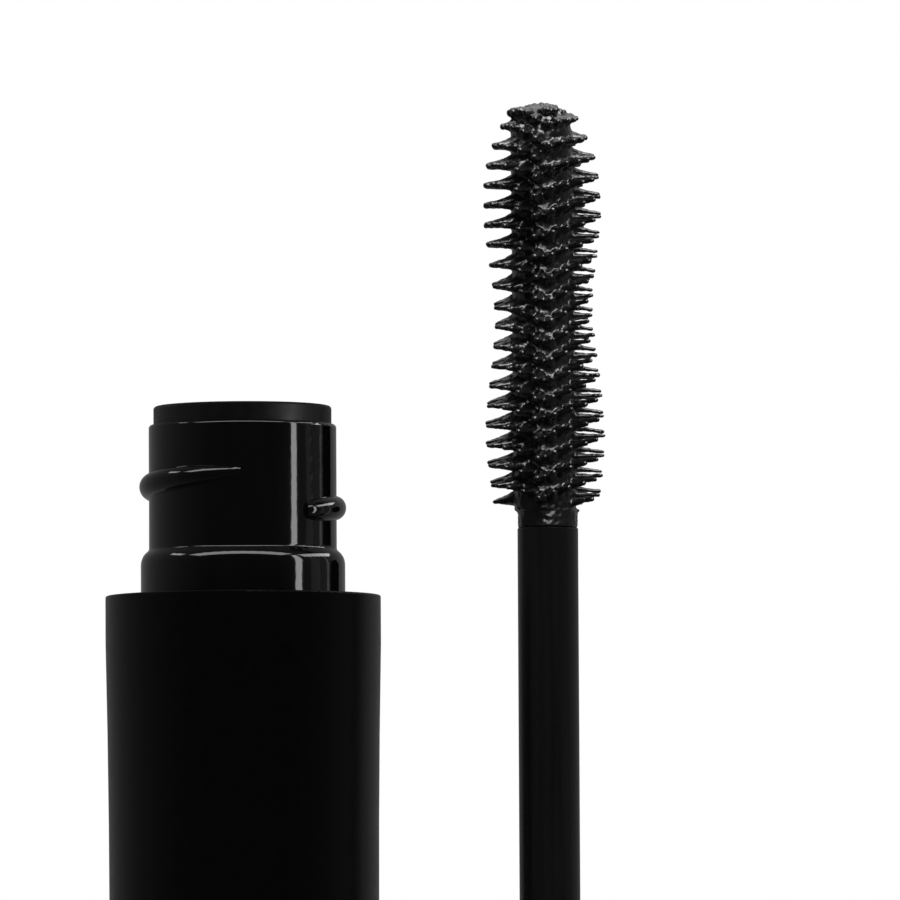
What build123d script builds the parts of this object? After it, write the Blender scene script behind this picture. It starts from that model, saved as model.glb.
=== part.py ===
from build123d import *

import math
import os

# An opened mascara: the filled tube stands upright, and the wand that was
# unscrewed from it stands beside it on the flat top of its cap, brush up.
# Millimetres. +Z is up. The origin is the centre of the tube's flat base.

# ---------------------------------------------------------------- driving sizes
TUBE_HEIGHT = 77.88         # floor to the top of the wiper's rim
NECK_SHOWN = 11.88          # how far the neck stands out of the case
WAND_LENGTH = 96.95         # flat top of the cap to the tip of the brush
BRUSH_LENGTH = 25.6         # bristled length
SPACING = 19.1              # tube axis to wand axis, side by side
CASE_R = 8.62               # outer radius where the case and the cap meet
CASE_WAIST_R = 8.43         # outer radius away from that joint
NECK_R = 5.88
ROD_R = 1.9
SLIP = 0.05                 # clearance between pieces that are pushed together

# ---------------------------------------------------------------- case and base
CASE_TOP = TUBE_HEIGHT - NECK_SHOWN
SKIN = 1.03                 # case wall at the waist
CASE_BORE_R = CASE_WAIST_R - SKIN
LIP = 1.2                   # ring at the top of the case that holds the bottle
FLARE_LOW = 20.0            # the flare starts this far below the joint
FLARE_HIGH = 3.0            # and ends this far below it
EDGE = 0.12                 # softened outer edges
PLUG_RIM = 1.0              # thickness of the plug's flange
PLUG_TOP = 4.5              # the bottle stands on this
PLUG_WALL = 1.1
LABEL_R = 5.7
LABEL_THICK = 0.1
LABEL_RECESS = 0.2

# ---------------------------------------------------------------- bottle
BEAD_R = 6.4                # collar between the neck and the case
BEAD_FLARE_TOP = CASE_TOP + 3.0
BEAD_FLARE_LOW = CASE_TOP + 1.86
BOTTLE_R = CASE_BORE_R - 2 * SLIP
BOTTLE_WALL = 1.1
NECK_BORE_R = 4.3
FLANGE_THICK = 1.16         # the wiper's rim, which lies on the neck
NECK_TOP = TUBE_HEIGHT - FLANGE_THICK
NECK_EDGE = 0.22
SHOULDER_Z = CASE_TOP - LIP
SHOULDER_SLOPE = 2.0        # inside, the bottle narrows to its neck over this height

# ---------------------------------------------------------------- screw thread
LEAD = 2.7                  # right-hand, single start
RIDGE_OUT = 0.6             # how far the ridge stands out of the neck
RIDGE_WIDTH = 1.55          # at its root
RIDGE_TURN = 317.0          # degrees from its tapered top end to its blunt low end
RIDGE_TAPER = 55.0          # degrees over which the top end fades out
RIDGE_END = 14.0            # degrees over which the low end steps down
RIDGE_TOP_Z = 73.5          # centre of the ridge at its top end, at the front
RIDGE_SINK = 0.12           # its root lies this far inside the wall
RIDGE_STEP = 12.0           # degrees between its sections
RIDGE_START_SHARE = 0.08    # share of its full height where the top end starts
RIDGE_FOOT_SHARE = 0.35     # share of its full width where its height is nothing
CAP_RIDGE_OUT = 0.5
CAP_RIDGE_WIDTH = 0.9
CAP_RIDGE_TURN = 300.0
CAP_RIDGE_SKIP = 30.0       # degrees past the front, which centres the gap between its ends there
THREAD_PLAY = 0.13          # the cap's ridge runs this far below the neck's

# ---------------------------------------------------------------- wiper
FLANGE_R = 5.58
WIPER_R = NECK_BORE_R - SLIP
CHAMBER_R = 3.45            # takes the seal plug at the top of the rod
CHAMBER_FLOOR = TUBE_HEIGHT - 4.8
ORIFICE_R = 1.97            # scrapes the rod
ORIFICE_TOP = TUBE_HEIGHT - 9.0
ORIFICE_LENGTH = 0.9
WIPER_WALL = 0.55
WIPER_EDGE = 0.2            # rounding of its rim outside
WIPER_MOUTH_EDGE = 0.3      # and inside

# ---------------------------------------------------------------- cream
CREAM_LEVEL = 50.0
CREAM_CHANNEL_R = 4.4       # hollow that the brush leaves behind
CREAM_CHANNEL_FLOOR = 9.0
CREAM_DIP = 1.1             # its top slopes down to the bottle's wall
CREAM_LIP = 0.5             # and rounds over into the channel

# ---------------------------------------------------------------- cap
CAP_HEIGHT = 41.35
CAP_TOP_THICK = 1.2
CAP_BORE_R = 7.4
LINER_R = CAP_BORE_R - SLIP
LINER_BORE_R = 6.6          # clears the ridge on the neck
LINER_RECESS = 0.35         # the liner stops this far inside the cap's mouth
WEB_THICK = 1.5
WASHER_THICK = 0.8
SEAL_W = CAP_HEIGHT - NECK_SHOWN          # where the wiper's rim lands inside the cap
WEB_BOTTOM = SEAL_W - WASHER_THICK - WEB_THICK
WEB_TOP = SEAL_W - WASHER_THICK
LINER_POCKET_R = 6.35       # hollow above the web
WASHER_R = 6.1
WEIGHT_HEIGHT = 8.0
WEIGHT_R = LINER_POCKET_R - SLIP

# ---------------------------------------------------------------- rod and brush
PLUG_R = CHAMBER_R - SLIP   # seal plug on the rod
PLUG_LENGTH = 4.1           # beyond the sealing plane
PLUG_CONE = 1.5
ROD_NECK_R = 2.5            # through the web
BARB_R = 3.1                # snap head behind the web
BARB_LENGTH = 1.5
ROD_BORE_R = 1.1            # takes the brush's shank
ROD_BORE_SPARE = 1.0        # depth left under the shank
ROD_EDGE = 0.08
COLLAR_LENGTH = 1.2         # smooth part of the brush next to the rod
SEAM_W = WAND_LENGTH - BRUSH_LENGTH - COLLAR_LENGTH
SHANK_LENGTH = 8.0          # the part of the brush that is pushed into the rod
CORE_R = 1.95
CORE_END = 0.5              # the core stops this far short of the tip
CORE_ROUND = 0.8            # height of its rounded end
NUB_R = 1.07                # knob on the end of the core
NUB_TIP_R = 0.68
NUB_LENGTH = 0.8
BRUSH_LEAN = 0.25           # degrees; the soft brush stands a little off the rod's line
BRUSH_OFFSET = 0.16         # and its foot is this far to the side
PEANUT_MEAN_R = 3.46        # the bristle tips follow a peanut outline
PEANUT_SWING_R = 0.34
PEANUT_PERIOD = 14.3
PEANUT_CREST = 6.5          # distance of the first crest from the tip
CROWN_LENGTH = 5.0          # rounded end of the outline
CROWN_DROP = 0.42

# ---------------------------------------------------------------- bristles
ROWS = 20
PITCH = 1.24
FIRST_BRISTLE = 0.7         # nearest to the tip
ROW_START = 0.33            # where the rows are counted from, from the tip
BRISTLE_ROOT_R = 0.34       # mean; they are stout on one side and slim on the other
BRISTLE_ROOT_SWING_R = 0.1
BRISTLE_TIP_R = 0.11
BRISTLE_DEPTH = 1.0         # how far a bristle's root lies under the core's surface
SLIM_PHASE = 0.63           # pitches between the slim side's rows and the stout side's
SLIM_STAGGER = 1 / 3        # pitches from one row to the next on the slim side
SLIM_SPREAD_START = 0.25    # share of that stagger at the tip
SLIM_SPREAD_END = 11.0      # it is whole this far from the tip
SLIM_DRAW = 0.1             # pitches by which it shrinks again near the collar
SLIM_DRAW_START = 15.0
SLIM_DRAW_LENGTH = 4.0
STOUT_RISE = 0.5            # pitches that the rows behind rise on the stout side
STOUT_RISE_ANGLE = 56.0     # over these degrees
STOUT_FALL = 1.4            # how sharply the rows in front fall
STOUT_PART = 0.2            # pitches by which front and back rows part lower down
STOUT_PART_START = 9.4
STOUT_PART_LENGTH = 3.3


def on_wand(shape):
    """Put a piece drawn about the wand's own axis where the wand stands."""
    return Pos(SPACING, 0, 0) * shape


def turned(*outline):
    """Revolve a closed outline of (radius, height) corners about the Z axis."""
    corners = [(r, 0, z) for r, z in outline]
    face = make_face(Polyline(*corners, close=True))
    return revolve(face, Axis.Z)


def disc(radius, low, high):
    return Pos(0, 0, low) * extrude(Circle(radius), high - low)


def ring(outer, inner, low, high):
    return disc(outer, low, high) - disc(inner, low, high)


def outer_skin(plain_end, joint_end):
    """A solid rod with the case's outline: straight, then a shallow flare to the joint."""
    toward = 1 if joint_end > plain_end else -1
    low = joint_end - toward * FLARE_LOW
    high = joint_end - toward * FLARE_HIGH
    rise = high - low
    bend_r = (rise ** 2 + (CASE_R - CASE_WAIST_R) ** 2) / (2 * (CASE_R - CASE_WAIST_R))
    half = rise / 2
    mid_r = CASE_WAIST_R + bend_r - math.sqrt(bend_r ** 2 - half ** 2)
    outline = Polyline((0, 0, joint_end), (0, 0, plain_end), (CASE_WAIST_R, 0, plain_end),
                       (CASE_WAIST_R, 0, low))
    outline += ThreePointArc((CASE_WAIST_R, 0, low), (mid_r, 0, low + half), (CASE_R, 0, high))
    outline += Polyline((CASE_R, 0, high), (CASE_R, 0, joint_end), (0, 0, joint_end))
    return revolve(make_face(outline), Axis.Z)


def soften_rim(solid, z, radius, amount=EDGE):
    """Round the circular edges of one radius at one height."""
    rims = [e for e in solid.edges().filter_by(GeomType.CIRCLE)
            if abs(e.center().Z - z) < 1e-4 and abs(e.radius - radius) < 1e-4]
    return fillet(rims, amount)


def ridge(root_r, crest_r, width, sweep, front_z, skip=0.0):
    """A right-hand ridge on a cylinder, from `skip` degrees past the front downwards.

    Its section is a rounded D. The top end grows from almost nothing, and the low end
    is blunt, with a small step down before it. `front_z` is its height at the front.
    """
    sink = RIDGE_SINK if crest_r > root_r else -RIDGE_SINK
    reach = crest_r - root_r

    def section(along):
        grown = math.sin(min(along / RIDGE_TAPER, 1.0) * math.pi / 2)
        grown = RIDGE_START_SHARE + (1 - RIDGE_START_SHARE) * grown
        stepped = (1 + min((sweep - along) / RIDGE_END, 1.0)) / 2
        share = min(grown, stepped)
        half = width / 2 * (RIDGE_FOOT_SHARE + (1 - RIDGE_FOOT_SHARE) * share)
        low = (root_r - sink, 0, -half)
        high = (root_r - sink, 0, half)
        crown = ThreePointArc(high, (root_r + reach * share, 0, 0), low)
        face = make_face(Line(low, high) + crown)
        turn = skip + along
        return Pos(0, 0, front_z - LEAD * turn / 360) * Rot(0, 0, -90 - turn) * face

    count = math.ceil(sweep / RIDGE_STEP)
    return loft([section(sweep * i / count) for i in range(count + 1)])


def make_tube_case():
    body = outer_skin(PLUG_RIM, CASE_TOP)
    body -= disc(CASE_BORE_R, PLUG_RIM, SHOULDER_Z)
    body -= disc(BEAD_R + SLIP, SHOULDER_Z, CASE_TOP)
    body = soften_rim(body, CASE_TOP, CASE_R)
    return soften_rim(body, PLUG_RIM, CASE_WAIST_R)


def make_base_plug():
    body = disc(CASE_WAIST_R, 0, PLUG_RIM)
    body += ring(CASE_BORE_R, CASE_BORE_R - PLUG_WALL, PLUG_RIM, PLUG_TOP)
    rib_length = 2 * CASE_BORE_R - PLUG_WALL
    for angle in (0, 90):
        rib = Box(rib_length, PLUG_WALL, PLUG_TOP - PLUG_RIM)
        body += Pos(0, 0, (PLUG_TOP + PLUG_RIM) / 2) * Rot(0, 0, angle) * rib
    body -= disc(LABEL_R + LABEL_RECESS, 0, LABEL_RECESS)
    return soften_rim(soften_rim(body, 0, CASE_WAIST_R), PLUG_RIM, CASE_WAIST_R)


def make_base_label():
    return disc(LABEL_R, LABEL_RECESS - LABEL_THICK, LABEL_RECESS)


def make_inner_bottle():
    hollow_r = BOTTLE_R - BOTTLE_WALL
    floor = PLUG_TOP + BOTTLE_WALL
    step = BEAD_R - NECK_R
    drop = BEAD_FLARE_TOP - BEAD_FLARE_LOW
    hollow_top = SHOULDER_Z - BOTTLE_WALL
    below = Polyline((0, 0, NECK_TOP), (0, 0, PLUG_TOP), (BOTTLE_R, 0, PLUG_TOP), (BOTTLE_R, 0, SHOULDER_Z),
                     (BEAD_R, 0, SHOULDER_Z), (BEAD_R, 0, BEAD_FLARE_LOW))
    flare = Spline((BEAD_R, 0, BEAD_FLARE_LOW), (BEAD_R - step * 0.22, 0, BEAD_FLARE_LOW + drop * 0.48),
                   (NECK_R + step * 0.3, 0, BEAD_FLARE_TOP - drop * 0.24), (NECK_R, 0, BEAD_FLARE_TOP),
                   tangents=[(0, 0, 1), (0, 0, 1)])
    above = Polyline((NECK_R, 0, BEAD_FLARE_TOP), (NECK_R, 0, NECK_TOP), (0, 0, NECK_TOP))
    body = revolve(make_face(below + flare + above), Axis.Z)
    body = soften_rim(body, NECK_TOP, NECK_R, NECK_EDGE)
    body = soften_rim(body, PLUG_TOP, BOTTLE_R, BOTTLE_WALL / 2)
    body -= turned((0, floor), (hollow_r, floor), (hollow_r, hollow_top - SHOULDER_SLOPE), (NECK_BORE_R, hollow_top),
                   (NECK_BORE_R, NECK_TOP), (0, NECK_TOP))
    return body + ridge(NECK_R, NECK_R + RIDGE_OUT, RIDGE_WIDTH, RIDGE_TURN, RIDGE_TOP_Z)


def make_wiper():
    low = ORIFICE_TOP - ORIFICE_LENGTH
    body = turned((CHAMBER_R, TUBE_HEIGHT), (FLANGE_R, TUBE_HEIGHT), (FLANGE_R, NECK_TOP),
                  (WIPER_R, NECK_TOP), (WIPER_R, CHAMBER_FLOOR), (ORIFICE_R + WIPER_WALL, ORIFICE_TOP),
                  (ORIFICE_R + WIPER_WALL, low), (ORIFICE_R, low), (ORIFICE_R, ORIFICE_TOP),
                  (CHAMBER_R, CHAMBER_FLOOR))
    body = soften_rim(body, TUBE_HEIGHT, FLANGE_R, WIPER_EDGE)
    return soften_rim(body, TUBE_HEIGHT, CHAMBER_R, WIPER_MOUTH_EDGE)


def make_mascara_cream():
    outer = BOTTLE_R - BOTTLE_WALL - SLIP
    floor = PLUG_TOP + BOTTLE_WALL + SLIP
    channel_edge = CREAM_CHANNEL_R + CREAM_LIP
    return turned((0, floor), (outer, floor), (outer, CREAM_LEVEL - CREAM_DIP), (channel_edge, CREAM_LEVEL),
                  (CREAM_CHANNEL_R, CREAM_LEVEL - CREAM_LIP), (CREAM_CHANNEL_R, CREAM_CHANNEL_FLOOR + 1),
                  (CREAM_CHANNEL_R - 1, CREAM_CHANNEL_FLOOR), (0, CREAM_CHANNEL_FLOOR))


def make_cap_shell():
    body = outer_skin(0, CAP_HEIGHT)
    body -= disc(CAP_BORE_R, CAP_TOP_THICK, CAP_HEIGHT)
    body = soften_rim(body, CAP_HEIGHT, CASE_R)
    return on_wand(soften_rim(body, 0, CASE_WAIST_R, 3 * EDGE))


def make_inner_cap():
    low = CAP_TOP_THICK
    high = CAP_HEIGHT - LINER_RECESS
    body = disc(LINER_R, low, high)
    body -= disc(LINER_POCKET_R, low, WEB_BOTTOM)
    body -= disc(LINER_BORE_R, WEB_TOP, high)
    body -= disc(ROD_NECK_R + SLIP, WEB_BOTTOM, WEB_TOP)
    # On the closed cap this ridge lies just under the neck's. The wand is drawn upside
    # down here, so heights are mirrored, and the ridge starts one lead further up.
    closed_z = RIDGE_TOP_Z - RIDGE_WIDTH / 2 - CAP_RIDGE_WIDTH / 2 - THREAD_PLAY
    front_w = CASE_TOP + CAP_HEIGHT - closed_z + LEAD
    crest_r = LINER_BORE_R - CAP_RIDGE_OUT
    body += ridge(LINER_BORE_R, crest_r, CAP_RIDGE_WIDTH, CAP_RIDGE_TURN, front_w, CAP_RIDGE_SKIP)
    return on_wand(body)


def make_cap_weight():
    body = disc(WEIGHT_R, CAP_TOP_THICK, CAP_TOP_THICK + WEIGHT_HEIGHT)
    return on_wand(chamfer(body.edges().filter_by(GeomType.CIRCLE), 4 * EDGE))


def make_seal_washer():
    return on_wand(ring(WASHER_R, PLUG_R + 2 * SLIP, WEB_TOP, SEAL_W))


def make_rod():
    plug_end = SEAL_W + PLUG_LENGTH
    body = turned((0, WEB_BOTTOM - BARB_LENGTH), (ROD_NECK_R, WEB_BOTTOM - BARB_LENGTH),
                  (BARB_R, WEB_BOTTOM - BARB_LENGTH / 3), (BARB_R, WEB_BOTTOM), (ROD_NECK_R, WEB_BOTTOM),
                  (ROD_NECK_R, WEB_TOP), (PLUG_R, WEB_TOP), (PLUG_R, plug_end),
                  (ROD_R, plug_end + PLUG_CONE), (ROD_R, SEAM_W), (0, SEAM_W))
    body -= disc(ROD_BORE_R, SEAM_W - SHANK_LENGTH - ROD_BORE_SPARE, SEAM_W)
    return on_wand(soften_rim(body, SEAM_W, ROD_R, ROD_EDGE))


def bristle_reach(from_tip):
    """Radius of the bristle tips at a distance from the tip of the brush."""
    angle = 2 * math.pi * (from_tip - PEANUT_CREST) / PEANUT_PERIOD
    reach = PEANUT_MEAN_R + PEANUT_SWING_R * math.cos(angle)
    crown = max(0.0, 1 - from_tip / CROWN_LENGTH)
    return reach * (1 - CROWN_DROP * crown ** 2)


def ramp(value, start, length):
    """0 up to `start`, then rising evenly to 1 over `length`."""
    return min(1.0, max(0.0, (value - start) / length))


def row_shift(azimuth, from_tip):
    """How far a bristle is shifted along the brush, in pitches, away from the tip.

    Azimuth is in degrees from the front, positive on the slim side. From both sides the
    rows fall towards the front, so the front shows a V.
    """
    if azimuth > 0:
        row_angle = 360 / ROWS
        rows_off = abs(azimuth - 90 - row_angle / 2) / row_angle
        spread = SLIM_SPREAD_START + (1 - SLIM_SPREAD_START) * ramp(from_tip, 0, SLIM_SPREAD_END)
        drawn = SLIM_DRAW * ramp(from_tip, SLIM_DRAW_START, SLIM_DRAW_LENGTH)
        return SLIM_PHASE + drawn + (spread * SLIM_STAGGER - drawn) * (rows_off - 1)
    around = -azimuth
    if around > 90:
        return -STOUT_RISE * ((around - 90) / STOUT_RISE_ANGLE) ** 2
    parted = STOUT_PART * ramp(from_tip, STOUT_PART_START, STOUT_PART_LENGTH)
    return parted + (1 - math.sin(math.radians(around))) ** STOUT_FALL


def bristle_places():
    """Azimuth and distance from the tip of every bristle."""
    places = []
    for row in range(ROWS):
        azimuth = (row + 0.5) * 360 / ROWS - 180
        for step in range(-2, math.ceil(BRUSH_LENGTH / PITCH) + 2):
            level = ROW_START + step * PITCH
            from_tip = level + row_shift(azimuth, level) * PITCH
            if ROW_START / 2 < from_tip < BRUSH_LENGTH - BRISTLE_ROOT_R:
                places.append((azimuth, max(from_tip, FIRST_BRISTLE)))
    return places


def make_bristle(azimuth, from_tip):
    root_r = BRISTLE_ROOT_R - BRISTLE_ROOT_SWING_R * math.sin(math.radians(azimuth))
    length = bristle_reach(from_tip) - CORE_R + BRISTLE_DEPTH
    bristle = Cone(root_r, BRISTLE_TIP_R, length, align=(Align.CENTER, Align.CENTER, Align.MIN))
    outward = Pos(CORE_R - BRISTLE_DEPTH, 0, WAND_LENGTH - from_tip) * Rot(0, 90, 0) * bristle
    return Rot(0, 0, azimuth - 90) * outward


def make_core(foot, tip):
    """The solid middle of the brush."""
    end = tip - CORE_END
    core = turned((0, foot), (CORE_R, foot), (CORE_R, end - CORE_ROUND), (CORE_R * 0.6, end), (0, end))
    nub = Cone(NUB_R, NUB_TIP_R, NUB_LENGTH, align=(Align.CENTER, Align.CENTER, Align.MAX))
    return core + Pos(0, 0, tip) * nub


def make_brush():
    """The moulded brush: shank, smooth collar, core and rows of bristles in one piece."""
    shank_end = SEAM_W - SHANK_LENGTH
    collar_top = SEAM_W + COLLAR_LENGTH
    shank = turned((0, shank_end), (ROD_BORE_R, shank_end), (ROD_BORE_R, SEAM_W), (ROD_R, SEAM_W),
                   (ROD_R, collar_top), (0, collar_top))
    bristles = [make_bristle(azimuth, from_tip) for azimuth, from_tip in bristle_places()]
    head = make_core(collar_top - EDGE, WAND_LENGTH).fuse(*bristles)
    stand = Pos(-BRUSH_OFFSET, 0, collar_top) * Rot(0, -BRUSH_LEAN, 0) * Pos(0, 0, -collar_top)
    return on_wand(shank.fuse(stand * head))


MAKERS = {
    "tube_case": make_tube_case,
    "base_plug": make_base_plug,
    "base_label": make_base_label,
    "inner_bottle": make_inner_bottle,
    "wiper": make_wiper,
    "mascara_cream": make_mascara_cream,
    "cap_shell": make_cap_shell,
    "inner_cap": make_inner_cap,
    "cap_weight": make_cap_weight,
    "seal_washer": make_seal_washer,
    "rod": make_rod,
    "brush": make_brush,
}

os.makedirs("parts", exist_ok=True)
for name, make in MAKERS.items():
    export_step(make(), f"parts/{name}.step")
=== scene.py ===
"""Looks for an opened mascara: the tube, and its wand standing brush up beside it.

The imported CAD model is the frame. The moulded brush gets a detailed mesh of its own
in place of its CAD node; every other CAD node stays and gets a material.
"""

import math
import random

import bmesh
import bpy
from mathutils import Matrix, Vector


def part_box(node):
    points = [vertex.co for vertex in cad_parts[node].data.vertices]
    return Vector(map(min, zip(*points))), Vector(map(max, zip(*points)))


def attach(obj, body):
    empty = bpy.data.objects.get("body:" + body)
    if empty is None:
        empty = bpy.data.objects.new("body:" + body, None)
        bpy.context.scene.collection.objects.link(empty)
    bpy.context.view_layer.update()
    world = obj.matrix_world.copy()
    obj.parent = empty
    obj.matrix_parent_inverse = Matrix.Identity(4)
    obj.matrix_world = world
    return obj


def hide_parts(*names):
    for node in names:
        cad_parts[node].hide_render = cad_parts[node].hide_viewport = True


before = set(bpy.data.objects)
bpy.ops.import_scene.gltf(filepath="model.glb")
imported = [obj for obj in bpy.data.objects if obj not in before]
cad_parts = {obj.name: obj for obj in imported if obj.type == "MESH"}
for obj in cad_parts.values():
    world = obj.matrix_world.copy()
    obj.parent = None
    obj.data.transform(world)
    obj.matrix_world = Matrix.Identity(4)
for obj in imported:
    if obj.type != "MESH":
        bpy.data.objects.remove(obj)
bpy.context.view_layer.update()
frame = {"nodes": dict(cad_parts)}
MM = 0.001

# ------------------------------------------------------------------ driving sizes, from the frame
RIM_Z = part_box("wiper")[1].z
ROD_LOW, ROD_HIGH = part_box("rod")
WAND_X = (ROD_LOW.x + ROD_HIGH.x) / 2
SEAM_Z = ROD_HIGH.z
BRUSH_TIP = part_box("brush")[1].z

# ------------------------------------------------------------------ the moulded brush
BRUSH_LENGTH = 25.6 * MM
BRUSH_LEAN = math.radians(0.25)
BRUSH_OFFSET = 0.16 * MM
COLLAR_R = 1.87 * MM
COLLAR_LENGTH = 1.2 * MM
CORE_R = 1.92 * MM
CORE_ROOT = 0.1 * MM         # how deep the core goes into the collar
ROWS = 20
PITCH = 1.24 * MM
ROW_START = 0.33 * MM        # where the rows are counted from, from the tip
FIRST_SPIKE = 0.7 * MM
PEANUT_MEAN_R = 3.46 * MM
PEANUT_SWING_R = 0.33 * MM
PEANUT_PERIOD = 14.3 * MM
PEANUT_CREST = 6.5 * MM
CROWN_LENGTH = 5.0 * MM
CROWN_DROP = 0.42
SLIM_PHASE = 0.63            # pitches between the slim side's rows and the stout side's
SLIM_STAGGER = 1 / 3         # pitches from one row to the next on the slim side
SLIM_SPREAD_START = 0.25     # share of that stagger at the tip
SLIM_SPREAD_END = 11 * MM
SLIM_DRAW = 0.1              # pitches by which it shrinks again near the collar
SLIM_DRAW_START = 15 * MM
SLIM_DRAW_LENGTH = 4 * MM
STOUT_RISE = 0.5             # pitches that the rows behind rise on the stout side
STOUT_RISE_ANGLE = 56
STOUT_FALL = 1.4             # how sharply the rows in front fall
STOUT_PART = 0.2             # pitches by which front and back rows part lower down
STOUT_PART_START = 9.4 * MM
STOUT_PART_LENGTH = 3.3 * MM
LAST_SPIKE_GAP = 0.3 * MM    # from the last spike to the collar
SEGMENTS = 48                # round the collar and the core

# ------------------------------------------------------------------ one spike
SPIKE_SEGMENTS = 12
SPIKE_ROOT = 0.9 * MM        # how deep it goes into the core
SPIKE_SHORTEST = 0.98        # share of its full reach
SPIKE_FOOT_MM = (0.4, 0.46)  # radius, least and most
SPIKE_TIP_MM = (0.12, 0.135)
SPIKE_WEB = 1.3              # how much wider it is around the brush than along it
SPIKE_TURN = 1.5             # degrees by which it strays around the brush
SPIKE_TILT = 2               # and along it
SLIM_DROOP = 7               # degrees towards the collar
STOUT_DROOP = 6.5
SLIM_GROWTH = 8 * MM         # from the tip to where the slim side is fully slim
SLIM_LOW_EXTRA = 0.13 * MM   # how much further the lower slim spikes stand out
SLIM_LOW_START = 12 * MM
SLIM_LOW_LENGTH = 3 * MM
STOUT_END_START = 8 * MM     # the tips on the stout side grow finer from here
STOUT_END_LENGTH = 4 * MM
CROWN_SPIKES = 3 * MM        # length of the crown, where the spikes are smaller
SLIM_FOOT_LESS = 0.4
STOUT_FOOT_MORE = 0.15
CROWN_FOOT_LESS = 0.5
SLIM_TIP_LESS = 0.1
FRONT_TIP_MORE = 0.3
STOUT_TIP_MORE = 0.25
FRONT_WEB_LESS = 0.3
CROWN_WEB_LESS = 0.4

# ------------------------------------------------------------------ nubs and skin
CROWN_NUBS = (               # rings of nubs: how many, ring radius, drop below the tip
    (4, 0.4 * MM, 0.24 * MM),
    (8, 0.92 * MM, 0.36 * MM),
    (12, 1.45 * MM, 0.68 * MM),
)
CROWN_NUB_STRAY = 0.2        # share of the gap between two nubs
CROWN_NUB_R = 0.17 * MM
CROWN_NUB_LENGTH = 0.2 * MM
COLLAR_NUB_R = 0.12 * MM
COLLAR_NUB_LENGTH = 0.16 * MM
COLLAR_EDGE = 0.1 * MM
VOXEL = 0.07 * MM
LUMP_SIZE = 0.3 * MM         # cream left on the bristles
LUMP_HEIGHT = 0.1 * MM


def spike_reach(from_tip):
    """Radius of the spike tips at a distance from the brush's tip."""
    angle = 2 * math.pi * (from_tip - PEANUT_CREST) / PEANUT_PERIOD
    reach = PEANUT_MEAN_R + PEANUT_SWING_R * math.cos(angle)
    crown = max(0.0, 1 - from_tip / CROWN_LENGTH)
    return reach * (1 - CROWN_DROP * crown ** 2)


def ramp(value, start, length):
    """0 up to `start`, then rising evenly to 1 over `length`."""
    return min(1.0, max(0.0, (value - start) / length))


def row_shift(azimuth, from_tip):
    """How far a spike is shifted along the brush, in pitches, away from the tip.

    Azimuth is in degrees from the front, positive on the right, where the spikes are
    slim. From both sides the rows fall towards the front, which shows a V. These are
    the CAD brush's rows.
    """
    if azimuth > 0:
        row_angle = 360 / ROWS
        rows_off = abs(azimuth - 90 - row_angle / 2) / row_angle
        spread = SLIM_SPREAD_START + (1 - SLIM_SPREAD_START) * ramp(from_tip, 0, SLIM_SPREAD_END)
        drawn = SLIM_DRAW * ramp(from_tip, SLIM_DRAW_START, SLIM_DRAW_LENGTH)
        return SLIM_PHASE + drawn + (spread * SLIM_STAGGER - drawn) * (rows_off - 1)
    around = -azimuth
    if around > 90:
        return -STOUT_RISE * ((around - 90) / STOUT_RISE_ANGLE) ** 2
    parted = STOUT_PART * ramp(from_tip, STOUT_PART_START, STOUT_PART_LENGTH)
    return parted + (1 - math.sin(math.radians(around))) ** STOUT_FALL


def lathe(bm, outline, segments, place):
    """Add a closed turned shape: outline is (radius, height) from one pole to the other."""
    rings = []
    for radius, height in outline:
        if radius == 0:
            rings.append([bm.verts.new(place @ Vector((0, 0, height)))])
            continue
        turn = 2 * math.pi / segments
        ring = []
        for k in range(segments):
            across = radius * math.cos(turn * k)
            along = radius * math.sin(turn * k)
            ring.append(bm.verts.new(place @ Vector((across, along, height))))
        rings.append(ring)
    for low, high in zip(rings, rings[1:]):
        for k in range(segments):
            nxt = (k + 1) % segments
            if len(low) == 1:
                bm.faces.new((low[0], high[nxt], high[k]))
            elif len(high) == 1:
                bm.faces.new((low[k], low[nxt], high[0]))
            else:
                bm.faces.new((low[k], low[nxt], high[nxt], high[k]))


def mesh_piece(name, bm):
    """A smooth-shaded object made from the bmesh, which is freed."""
    mesh = bpy.data.meshes.new(name)
    bmesh.ops.recalc_face_normals(bm, faces=bm.faces)
    bm.to_mesh(mesh)
    bm.free()
    for face in mesh.polygons:
        face.use_smooth = True
    piece = bpy.data.objects.new(name, mesh)
    bpy.context.scene.collection.objects.link(piece)
    return piece


def apply_modifiers(piece):
    """Turn the modifiers into the mesh itself."""
    graph = bpy.context.evaluated_depsgraph_get()
    mesh = bpy.data.meshes.new_from_object(piece.evaluated_get(graph))
    piece.modifiers.clear()
    piece.data = mesh
    for face in mesh.polygons:
        face.use_smooth = True


def spike_droop(azimuth):
    """Degrees by which a spike points towards the collar."""
    if azimuth <= 0:
        return STOUT_DROOP
    rows_off = abs(azimuth - 90 - 180 / ROWS) / (360 / ROWS)
    return SLIM_DROOP * max(-1.0, 1 - rows_off)


def spike_outline(length, foot, tip):
    """(radius, height) from the root inside the core up to the tip at height 0."""
    return [
        (0, -length - SPIKE_ROOT),
        (foot * 1.1, -length - SPIKE_ROOT),
        (foot, -length),
        (foot * 0.7, -0.72 * length),
        (foot * 0.5, -0.42 * length),
        (tip * 1.15, -0.13 * length),
        (tip, -0.04 * length),
        (tip * 0.6, -0.01 * length),
        (0, 0),
    ]


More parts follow.
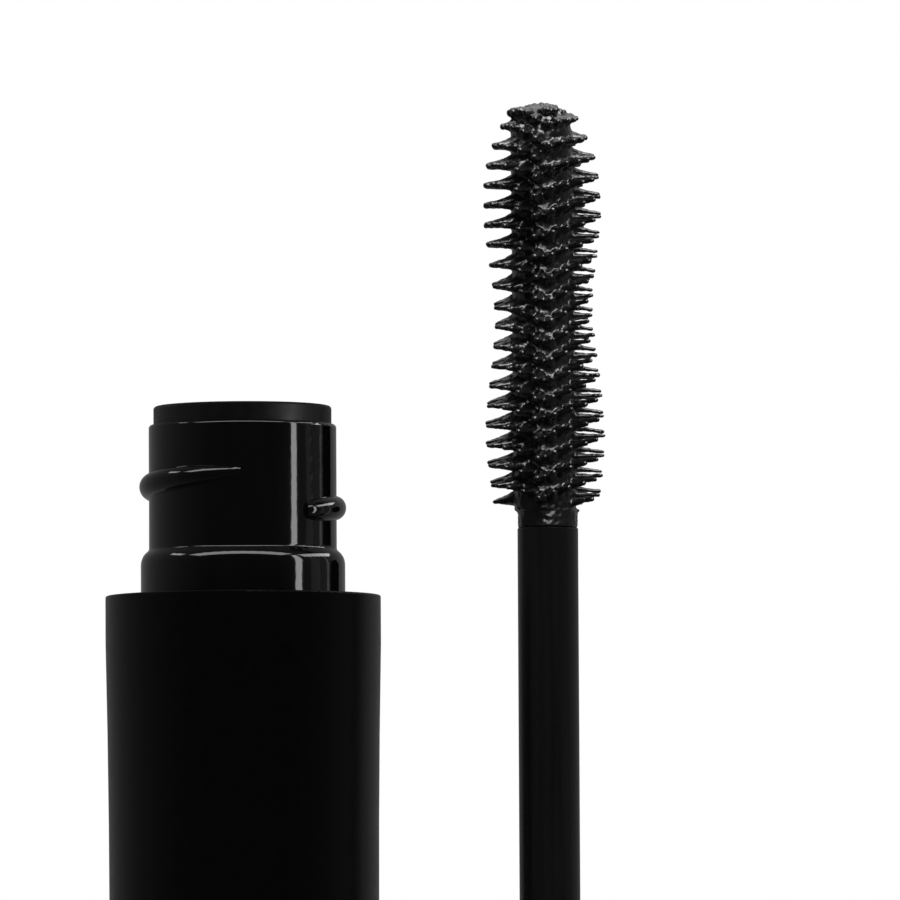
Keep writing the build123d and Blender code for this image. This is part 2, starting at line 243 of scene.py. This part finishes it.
def add_spike(bm, rng, azimuth, from_tip, stand):
    """One tapered spike, placed by its tip.

    Its foot is wider around the brush, which makes a web along the row. On the left the
    spikes are stout and point a little down; on the right they are slim, further from
    the crown, and the three that show per row converge.
    """
    side = math.sin(math.radians(azimuth))
    front = max(0.0, math.cos(math.radians(azimuth)))
    slim = max(0.0, side) * ramp(from_tip, 0, SLIM_GROWTH)
    stout = max(0.0, -side) * (1 - ramp(from_tip, STOUT_END_START, STOUT_END_LENGTH))
    crown = 1 - ramp(from_tip, 0, CROWN_SPIKES)

    reach = spike_reach(from_tip) * rng.uniform(SPIKE_SHORTEST, 1.0)
    reach += SLIM_LOW_EXTRA * max(0.0, side) * ramp(from_tip, SLIM_LOW_START, SLIM_LOW_LENGTH)
    foot = rng.uniform(*SPIKE_FOOT_MM) * MM
    foot *= 1 - SLIM_FOOT_LESS * slim + STOUT_FOOT_MORE * max(0.0, -side)
    foot *= 1 - CROWN_FOOT_LESS * crown
    tip = rng.uniform(*SPIKE_TIP_MM) * MM
    tip *= 1 - SLIM_TIP_LESS * slim + FRONT_TIP_MORE * front + STOUT_TIP_MORE * stout
    turn = azimuth - 90 + rng.uniform(-SPIKE_TURN, SPIKE_TURN)
    tilt = 90 + spike_droop(azimuth) * (1 - crown) + rng.uniform(-SPIKE_TILT, SPIKE_TILT)
    web = SPIKE_WEB - FRONT_WEB_LESS * front - CROWN_WEB_LESS * crown * (1 - front)

    place = stand @ Matrix.Translation((0, 0, -from_tip))
    place = place @ Matrix.Rotation(math.radians(turn), 4, "Z")
    place = place @ Matrix.Translation((reach, 0, 0))
    place = place @ Matrix.Rotation(math.radians(tilt), 4, "Y")
    place = place @ Matrix.Diagonal((1, web, 1, 1))
    lathe(bm, spike_outline(reach - CORE_R, foot, tip), SPIKE_SEGMENTS, place)


def add_nub(bm, place, radius, length):
    """A small rounded knob that stands along +Z of `place`."""
    outline = [
        (0, -length), (radius, -length), (radius, 0),
        (radius * 0.7, length * 0.6), (radius * 0.3, length * 0.93), (0, length),
    ]
    lathe(bm, outline, SPIKE_SEGMENTS, place)


def add_collar(bm, top):
    outline = [
        (0, SEAM_Z), (COLLAR_R - 0.05 * MM, SEAM_Z), (COLLAR_R, SEAM_Z + 0.06 * MM),
        (COLLAR_R, top - COLLAR_EDGE), (COLLAR_R - COLLAR_EDGE, top), (0, top),
    ]
    lathe(bm, outline, SEGMENTS, Matrix.Translation((WAND_X, 0, 0)))


def add_core(bm, height, stand):
    """The core under the spikes, with a domed top. Heights are from the brush's tip."""
    outline = [
        (0, -height - CORE_ROOT), (CORE_R, -height - CORE_ROOT), (CORE_R, -2.0 * MM),
        (CORE_R * 0.9, -1.1 * MM), (CORE_R * 0.68, -0.52 * MM), (CORE_R * 0.38, -0.17 * MM),
        (0, -0.12 * MM),
    ]
    lathe(bm, outline, SEGMENTS, stand)


def add_spikes(bm, rng, stand):
    for row in range(ROWS):
        azimuth = (row + 0.5) * 360 / ROWS - 180
        for step in range(-2, 24):
            level = ROW_START + step * PITCH
            from_tip = level + row_shift(azimuth, level) * PITCH
            if ROW_START / 2 < from_tip < BRUSH_LENGTH - LAST_SPIKE_GAP:
                add_spike(bm, rng, azimuth, max(from_tip, FIRST_SPIKE), stand)


def add_crown_nubs(bm, rng, stand):
    for count, radius, drop in CROWN_NUBS:
        for k in range(count):
            stray = rng.uniform(-CROWN_NUB_STRAY, CROWN_NUB_STRAY)
            angle = 2 * math.pi * (k + stray) / count
            centre = (radius * math.cos(angle), radius * math.sin(angle), -drop)
            add_nub(bm, stand @ Matrix.Translation(centre), CROWN_NUB_R, CROWN_NUB_LENGTH)


def add_collar_nubs(bm, collar_top):
    """The two nubs that stand out of the collar's top edge, left and right."""
    for side in (-1, 1):
        place = Matrix.Translation((WAND_X + side * COLLAR_R, 0, collar_top - COLLAR_EDGE))
        place = place @ Matrix.Rotation(side * math.pi / 2, 4, "Y")
        add_nub(bm, place, COLLAR_NUB_R, COLLAR_NUB_LENGTH)


def skin_over(brush):
    """Merge the overlapping shapes into one skin, with soft valleys and lumps of cream."""
    remesh = brush.modifiers.new("one skin", "REMESH")
    remesh.mode = "VOXEL"
    remesh.voxel_size = VOXEL
    remesh.use_smooth_shade = True
    soften = brush.modifiers.new("soft valleys", "SMOOTH")
    soften.factor = 0.5
    soften.iterations = 3
    lumps = brush.modifiers.new("cream lumps", "DISPLACE")
    lumps.texture = bpy.data.textures.new("lumps", "CLOUDS")
    lumps.texture.noise_scale = LUMP_SIZE
    lumps.texture_coords = "LOCAL"
    lumps.strength = LUMP_HEIGHT
    apply_modifiers(brush)


def make_brush():
    rng = random.Random(7)
    bm = bmesh.new()
    collar_top = SEAM_Z + COLLAR_LENGTH
    height = BRUSH_TIP - collar_top
    stand = Matrix.Translation((WAND_X - BRUSH_OFFSET, 0, collar_top))
    stand = stand @ Matrix.Rotation(-BRUSH_LEAN, 4, "Y")
    stand = stand @ Matrix.Translation((0, 0, height))
    add_collar(bm, collar_top)
    add_core(bm, height, stand)
    add_spikes(bm, rng, stand)
    add_crown_nubs(bm, rng, stand)
    add_collar_nubs(bm, collar_top)
    brush = mesh_piece("moulded_brush", bm)
    skin_over(brush)
    return brush


# ------------------------------------------------------------------ materials
def new_material(name):
    material = bpy.data.materials.new(name)
    material.use_nodes = True
    nodes = material.node_tree.nodes
    nodes.clear()
    out = nodes.new("ShaderNodeOutputMaterial")
    shader = nodes.new("ShaderNodeBsdfPrincipled")
    material.node_tree.links.new(shader.outputs["BSDF"], out.inputs["Surface"])
    return material, shader


class Nodes:
    """Short names for building a material's node tree."""

    def __init__(self, material):
        self.tree = material.node_tree
        self.coords = self.tree.nodes.new("ShaderNodeTexCoord").outputs["Object"]

    def link(self, out, to):
        self.tree.links.new(out, to)

    def noise(self, size, detail, stretch=(1, 1, 1)):
        """A noise whose grain is `size` metres, stretched along the axes."""
        mapping = self.tree.nodes.new("ShaderNodeMapping")
        mapping.inputs["Scale"].default_value = stretch
        self.link(self.coords, mapping.inputs["Vector"])
        noise = self.tree.nodes.new("ShaderNodeTexNoise")
        noise.inputs["Scale"].default_value = 1 / size
        noise.inputs["Detail"].default_value = detail
        self.link(mapping.outputs["Vector"], noise.inputs["Vector"])
        return noise.outputs["Fac"]

    def spread(self, value, low, high):
        """Map 0.3..0.7 of a value to low..high."""
        ranged = self.tree.nodes.new("ShaderNodeMapRange")
        ranged.inputs["From Min"].default_value = 0.3
        ranged.inputs["From Max"].default_value = 0.7
        ranged.inputs["To Min"].default_value = low
        ranged.inputs["To Max"].default_value = high
        self.link(value, ranged.inputs["Value"])
        return ranged.outputs["Result"]

    def tint(self, value, dark, light):
        """Mix two colours by a value."""
        mix = self.tree.nodes.new("ShaderNodeMix")
        mix.data_type = "RGBA"
        mix.inputs[6].default_value = (*dark, 1)     # A, as a colour
        mix.inputs[7].default_value = (*light, 1)    # B, as a colour
        self.link(value, mix.inputs["Factor"])
        return mix.outputs[2]

    def bump(self, height, distance):
        bump = self.tree.nodes.new("ShaderNodeBump")
        bump.inputs["Distance"].default_value = distance
        bump.inputs["Strength"].default_value = 1.0
        self.link(height, bump.inputs["Height"])
        return bump.outputs["Normal"]


def plastic(name, dark, light, rough, grain, bump, stretch=(1, 1, 1),
            coat=0.0, coat_rough=0.05, specular=0.5):
    """Moulded plastic: mottled colour, uneven gloss and a fine skin."""
    material, shader = new_material(name)
    nodes = Nodes(material)
    patch = nodes.noise(grain * 12, 4, stretch)
    fine = nodes.noise(grain, 2, stretch)
    nodes.link(nodes.tint(nodes.spread(patch, 0, 1), dark, light), shader.inputs["Base Color"])
    nodes.link(nodes.spread(patch, *rough), shader.inputs["Roughness"])
    nodes.link(nodes.bump(fine, bump), shader.inputs["Normal"])
    shader.inputs["Specular IOR Level"].default_value = specular
    shader.inputs["Coat Weight"].default_value = coat
    shader.inputs["Coat Roughness"].default_value = coat_rough
    return material


def grey(value):
    return (value, value, value)


def turned_steel():
    steel, shader = new_material("turned_steel")
    nodes = Nodes(steel)
    rings = nodes.noise(0.15 * MM, 2, (0.1, 0.1, 4))
    nodes.link(nodes.tint(rings, grey(0.42), grey(0.6)), shader.inputs["Base Color"])
    nodes.link(nodes.spread(rings, 0.25, 0.4), shader.inputs["Roughness"])
    nodes.link(nodes.bump(rings, 0.01 * MM), shader.inputs["Normal"])
    shader.inputs["Metallic"].default_value = 1.0
    return steel


def make_materials():
    """Each plastic: dark and light colour, roughness range, grain size, height of the bump."""
    steel = turned_steel()
    return {
        "case": plastic(
            "satin_black_case", grey(0.0004), grey(0.0007), (0.28, 0.34),
            0.05 * MM, 0.0012 * MM, specular=0.25),
        "base": plastic(
            "matte_black_base", grey(0.003), grey(0.005), (0.45, 0.55),
            0.08 * MM, 0.006 * MM),
        "bottle": plastic(
            "gloss_black_bottle", grey(0.0018), grey(0.0032), (0.05, 0.09),
            0.5 * MM, 0.004 * MM, stretch=(1, 1, 0.35)),
        "wiper": plastic(
            "matte_black_wiper", grey(0.0015), grey(0.003), (0.38, 0.48),
            0.06 * MM, 0.004 * MM, specular=0.45),
        "liner": plastic(
            "matte_black_liner", grey(0.004), grey(0.006), (0.35, 0.5),
            0.08 * MM, 0.005 * MM),
        "rod": plastic(
            "black_rod", grey(0.0025), grey(0.0045), (0.25, 0.36),
            0.1 * MM, 0.004 * MM, stretch=(3, 3, 0.08)),
        "brush": plastic(
            "wet_black_elastomer", grey(0.0008), grey(0.0025), (0.25, 0.4),
            0.12 * MM, 0.008 * MM, coat=0.5, coat_rough=0.16),
        "cream": plastic(
            "black_cream", grey(0.002), grey(0.004), (0.12, 0.3),
            0.3 * MM, 0.05 * MM, coat=0.5),
        "foam": plastic(
            "washer_foam", grey(0.55), grey(0.7), (0.7, 0.85),
            0.05 * MM, 0.03 * MM),
        "paper": plastic(
            "blank_label", (0.72, 0.71, 0.68), (0.8, 0.79, 0.77), (0.6, 0.75),
            0.04 * MM, 0.006 * MM),
        "steel": steel,
    }


def paint(obj, material):
    obj.data.materials.clear()
    obj.data.materials.append(material)


# ------------------------------------------------------------------ studio
FRAME_WIDTH = 56.4 * MM      # what the camera sees at the object's distance
FRAME_CENTRE = Vector((13.0 * MM, 0, RIM_Z - 2.8 * MM))
CAMERA_DISTANCE = 600 * MM
CAMERA_TILT = math.radians(3.4)   # the camera looks up a little
CAMERA_ROLL = math.radians(0.3)
FLOOR_R = 15.0


def make_camera():
    data = bpy.data.cameras.new("camera")
    data.lens = data.sensor_width * CAMERA_DISTANCE / FRAME_WIDTH
    data.clip_start = 0.01
    data.clip_end = 3 * FLOOR_R
    camera = bpy.data.objects.new("camera", data)
    bpy.context.scene.collection.objects.link(camera)
    back = Vector((0, -math.cos(CAMERA_TILT), -math.sin(CAMERA_TILT)))
    camera.location = FRAME_CENTRE + back * CAMERA_DISTANCE
    aim = Matrix.Rotation(math.radians(90) + CAMERA_TILT, 3, "X")
    aim = aim @ Matrix.Rotation(-CAMERA_ROLL, 3, "Z")
    camera.rotation_euler = aim.to_euler()
    bpy.context.scene.camera = camera


def make_floor():
    """A wide pale floor. Glossy pieces don't mirror it, as if it lay on a light table."""
    bm = bmesh.new()
    bmesh.ops.create_circle(bm, cap_ends=True, segments=96, radius=FLOOR_R)
    floor = mesh_piece("studio_floor", bm)
    floor.visible_glossy = False
    material, shader = new_material("pale_floor")
    nodes = Nodes(material)
    paper = nodes.noise(0.4 * MM, 3)
    nodes.link(nodes.tint(paper, grey(0.86), grey(0.9)), shader.inputs["Base Color"])
    shader.inputs["Roughness"].default_value = 0.9
    shader.inputs["Specular IOR Level"].default_value = 0.1
    paint(floor, material)


TENT_FRONT = -0.75           # the tent's shade by how far a direction points to the back
TENT_BACK = 1.0
TENT_DARK = 0.01
TENT_PALE = 0.21
CARD_BEARING = math.radians(129)
CARD_HALF_WIDTH = math.radians(12)
CARD_SHARP = 0.9             # share of its width that is fully black


def make_tent():
    """The world: plain white, but in reflections a tent that is dark in front and pale behind.

    A black card hangs in it at the back right.
    """
    world = bpy.data.worlds.new("tent")
    bpy.context.scene.world = world
    world.use_nodes = True
    tree = world.node_tree
    direction = tree.nodes.new("ShaderNodeTexCoord").outputs["Generated"]
    split = tree.nodes.new("ShaderNodeSeparateXYZ")
    tree.links.new(direction, split.inputs[0])
    fade = tree.nodes.new("ShaderNodeMapRange")
    fade.inputs["From Min"].default_value = TENT_FRONT
    fade.inputs["From Max"].default_value = TENT_BACK
    fade.inputs["To Min"].default_value = TENT_DARK
    fade.inputs["To Max"].default_value = TENT_PALE
    tree.links.new(split.outputs["Y"], fade.inputs["Value"])
    toward_card = tree.nodes.new("ShaderNodeVectorMath")
    toward_card.operation = "DOT_PRODUCT"
    toward_card.inputs[1].default_value = (math.sin(CARD_BEARING), -math.cos(CARD_BEARING), 0)
    tree.links.new(direction, toward_card.inputs[0])
    card = tree.nodes.new("ShaderNodeMapRange")
    card.inputs["From Min"].default_value = math.cos(CARD_HALF_WIDTH)
    card.inputs["From Max"].default_value = math.cos(CARD_HALF_WIDTH * CARD_SHARP)
    card.inputs["To Min"].default_value = 1.0
    card.inputs["To Max"].default_value = 0.0
    tree.links.new(toward_card.outputs["Value"], card.inputs["Value"])
    shade = tree.nodes.new("ShaderNodeMath")
    shade.operation = "MULTIPLY"
    tree.links.new(fade.outputs["Result"], shade.inputs[0])
    tree.links.new(card.outputs["Result"], shade.inputs[1])
    mix = tree.nodes.new("ShaderNodeMix")
    tree.links.new(tree.nodes.new("ShaderNodeLightPath").outputs["Is Glossy Ray"], mix.inputs["Factor"])
    mix.inputs["A"].default_value = 1.0
    tree.links.new(shade.outputs["Value"], mix.inputs["B"])
    background = tree.nodes["Background"]
    background.inputs["Color"].default_value = (1, 1, 1, 1)
    tree.links.new(mix.outputs["Result"], background.inputs["Strength"])


SIDE_HEIGHT = 0.02           # the upright panels: metres above the rim and from the object
SIDE_DISTANCE = 0.5
CEILING_HEIGHT = 0.55        # the level panels, above the rim
CEILING_RADIANCE = 4.5


def add_light(name, place, size, radiance, receivers):
    """A soft rectangular light that only gives highlights, on the pieces in `receivers`."""
    data = bpy.data.lights.new(name, "AREA")
    data.shape = "RECTANGLE"
    data.size, data.size_y = size
    data.energy = radiance * math.pi * size[0] * size[1]
    light = bpy.data.objects.new(name, data)
    bpy.context.scene.collection.objects.link(light)
    light.matrix_world = place
    light.visible_camera = False
    light.visible_diffuse = False
    group = bpy.data.collections.new(name)
    for piece in receivers:
        group.objects.link(piece)
    light.light_linking.receiver_collection = group
    light.light_linking.blocker_collection = group


def add_panel(name, bearing, height, distance, size, radiance, receivers):
    """A panel that faces the object. Bearing is in degrees from the front, positive right."""
    turn = math.radians(bearing)
    offset = Vector((distance * math.sin(turn), -distance * math.cos(turn), height))
    place = Matrix.Translation(Vector((WAND_X / 2, 0, RIM_Z)) + offset)
    facing = (-offset).to_track_quat("-Z", "Y").to_matrix().to_4x4()
    add_light(name, place @ facing, size, radiance, receivers)


def add_ceiling(name, centre, size, receivers):
    """A panel that hangs level over the object, facing down."""
    place = Matrix.Translation((centre[0], centre[1], RIM_Z + CEILING_HEIGHT))
    add_light(name, place, size, CEILING_RADIANCE, receivers)


def make_lights(neck, bottle, satin, brush):
    """The tent, and the panels that give each finish its highlights. Sizes are in metres."""
    make_tent()
    add_panel("strip_right", 66.5, SIDE_HEIGHT, SIDE_DISTANCE, (0.07, 0.6), 5.5, neck)
    add_panel("panel_right", 100, SIDE_HEIGHT, SIDE_DISTANCE, (0.28, 0.6), 0.12, neck)
    add_panel("panel_edge", 113, SIDE_HEIGHT, SIDE_DISTANCE, (0.03, 0.6), 0.3, neck)
    add_panel("panel_behind_card", 129, SIDE_HEIGHT, SIDE_DISTANCE, (0.21, 0.6), 0.17, satin)
    add_ceiling("ceiling_front", (-0.05, -0.36), (1.3, 0.28), [bottle])
    add_ceiling("ceiling_left", (-0.72, 0.06), (0.2, 0.3), [bottle])
    add_ceiling("ceiling_right", (0.95, 0.3), (0.45, 1.0), [bottle])
    add_panel("panel_top", 180, 0.55, 0.1, (1.2, 0.7), 1.6, [brush])
    add_panel("panel_high", 30, 0.4, 0.35, (0.4, 0.4), 10.0, [brush])
    add_panel("panel_front", 5, 0.2, 0.5, (0.2, 0.3), 3.8, [brush])


# ------------------------------------------------------------------ put it together
materials = make_materials()
FINISHES = {
    "tube_case": "case", "cap_shell": "case", "base_plug": "base", "base_label": "paper",
    "inner_bottle": "bottle", "wiper": "wiper", "mascara_cream": "cream", "inner_cap": "liner",
    "cap_weight": "steel", "seal_washer": "foam", "rod": "rod",
}
for node, finish in FINISHES.items():
    paint(frame["nodes"][node], materials[finish])

brush = make_brush()
paint(brush, materials["brush"])
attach(brush, "wand")
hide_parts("brush")

nodes = frame["nodes"]
make_floor()
make_lights([nodes["inner_bottle"], nodes["wiper"]], nodes["inner_bottle"],
            [nodes["tube_case"], nodes["cap_shell"], nodes["rod"], brush], brush)
make_camera()
bpy.context.scene.view_settings.view_transform = "Standard"
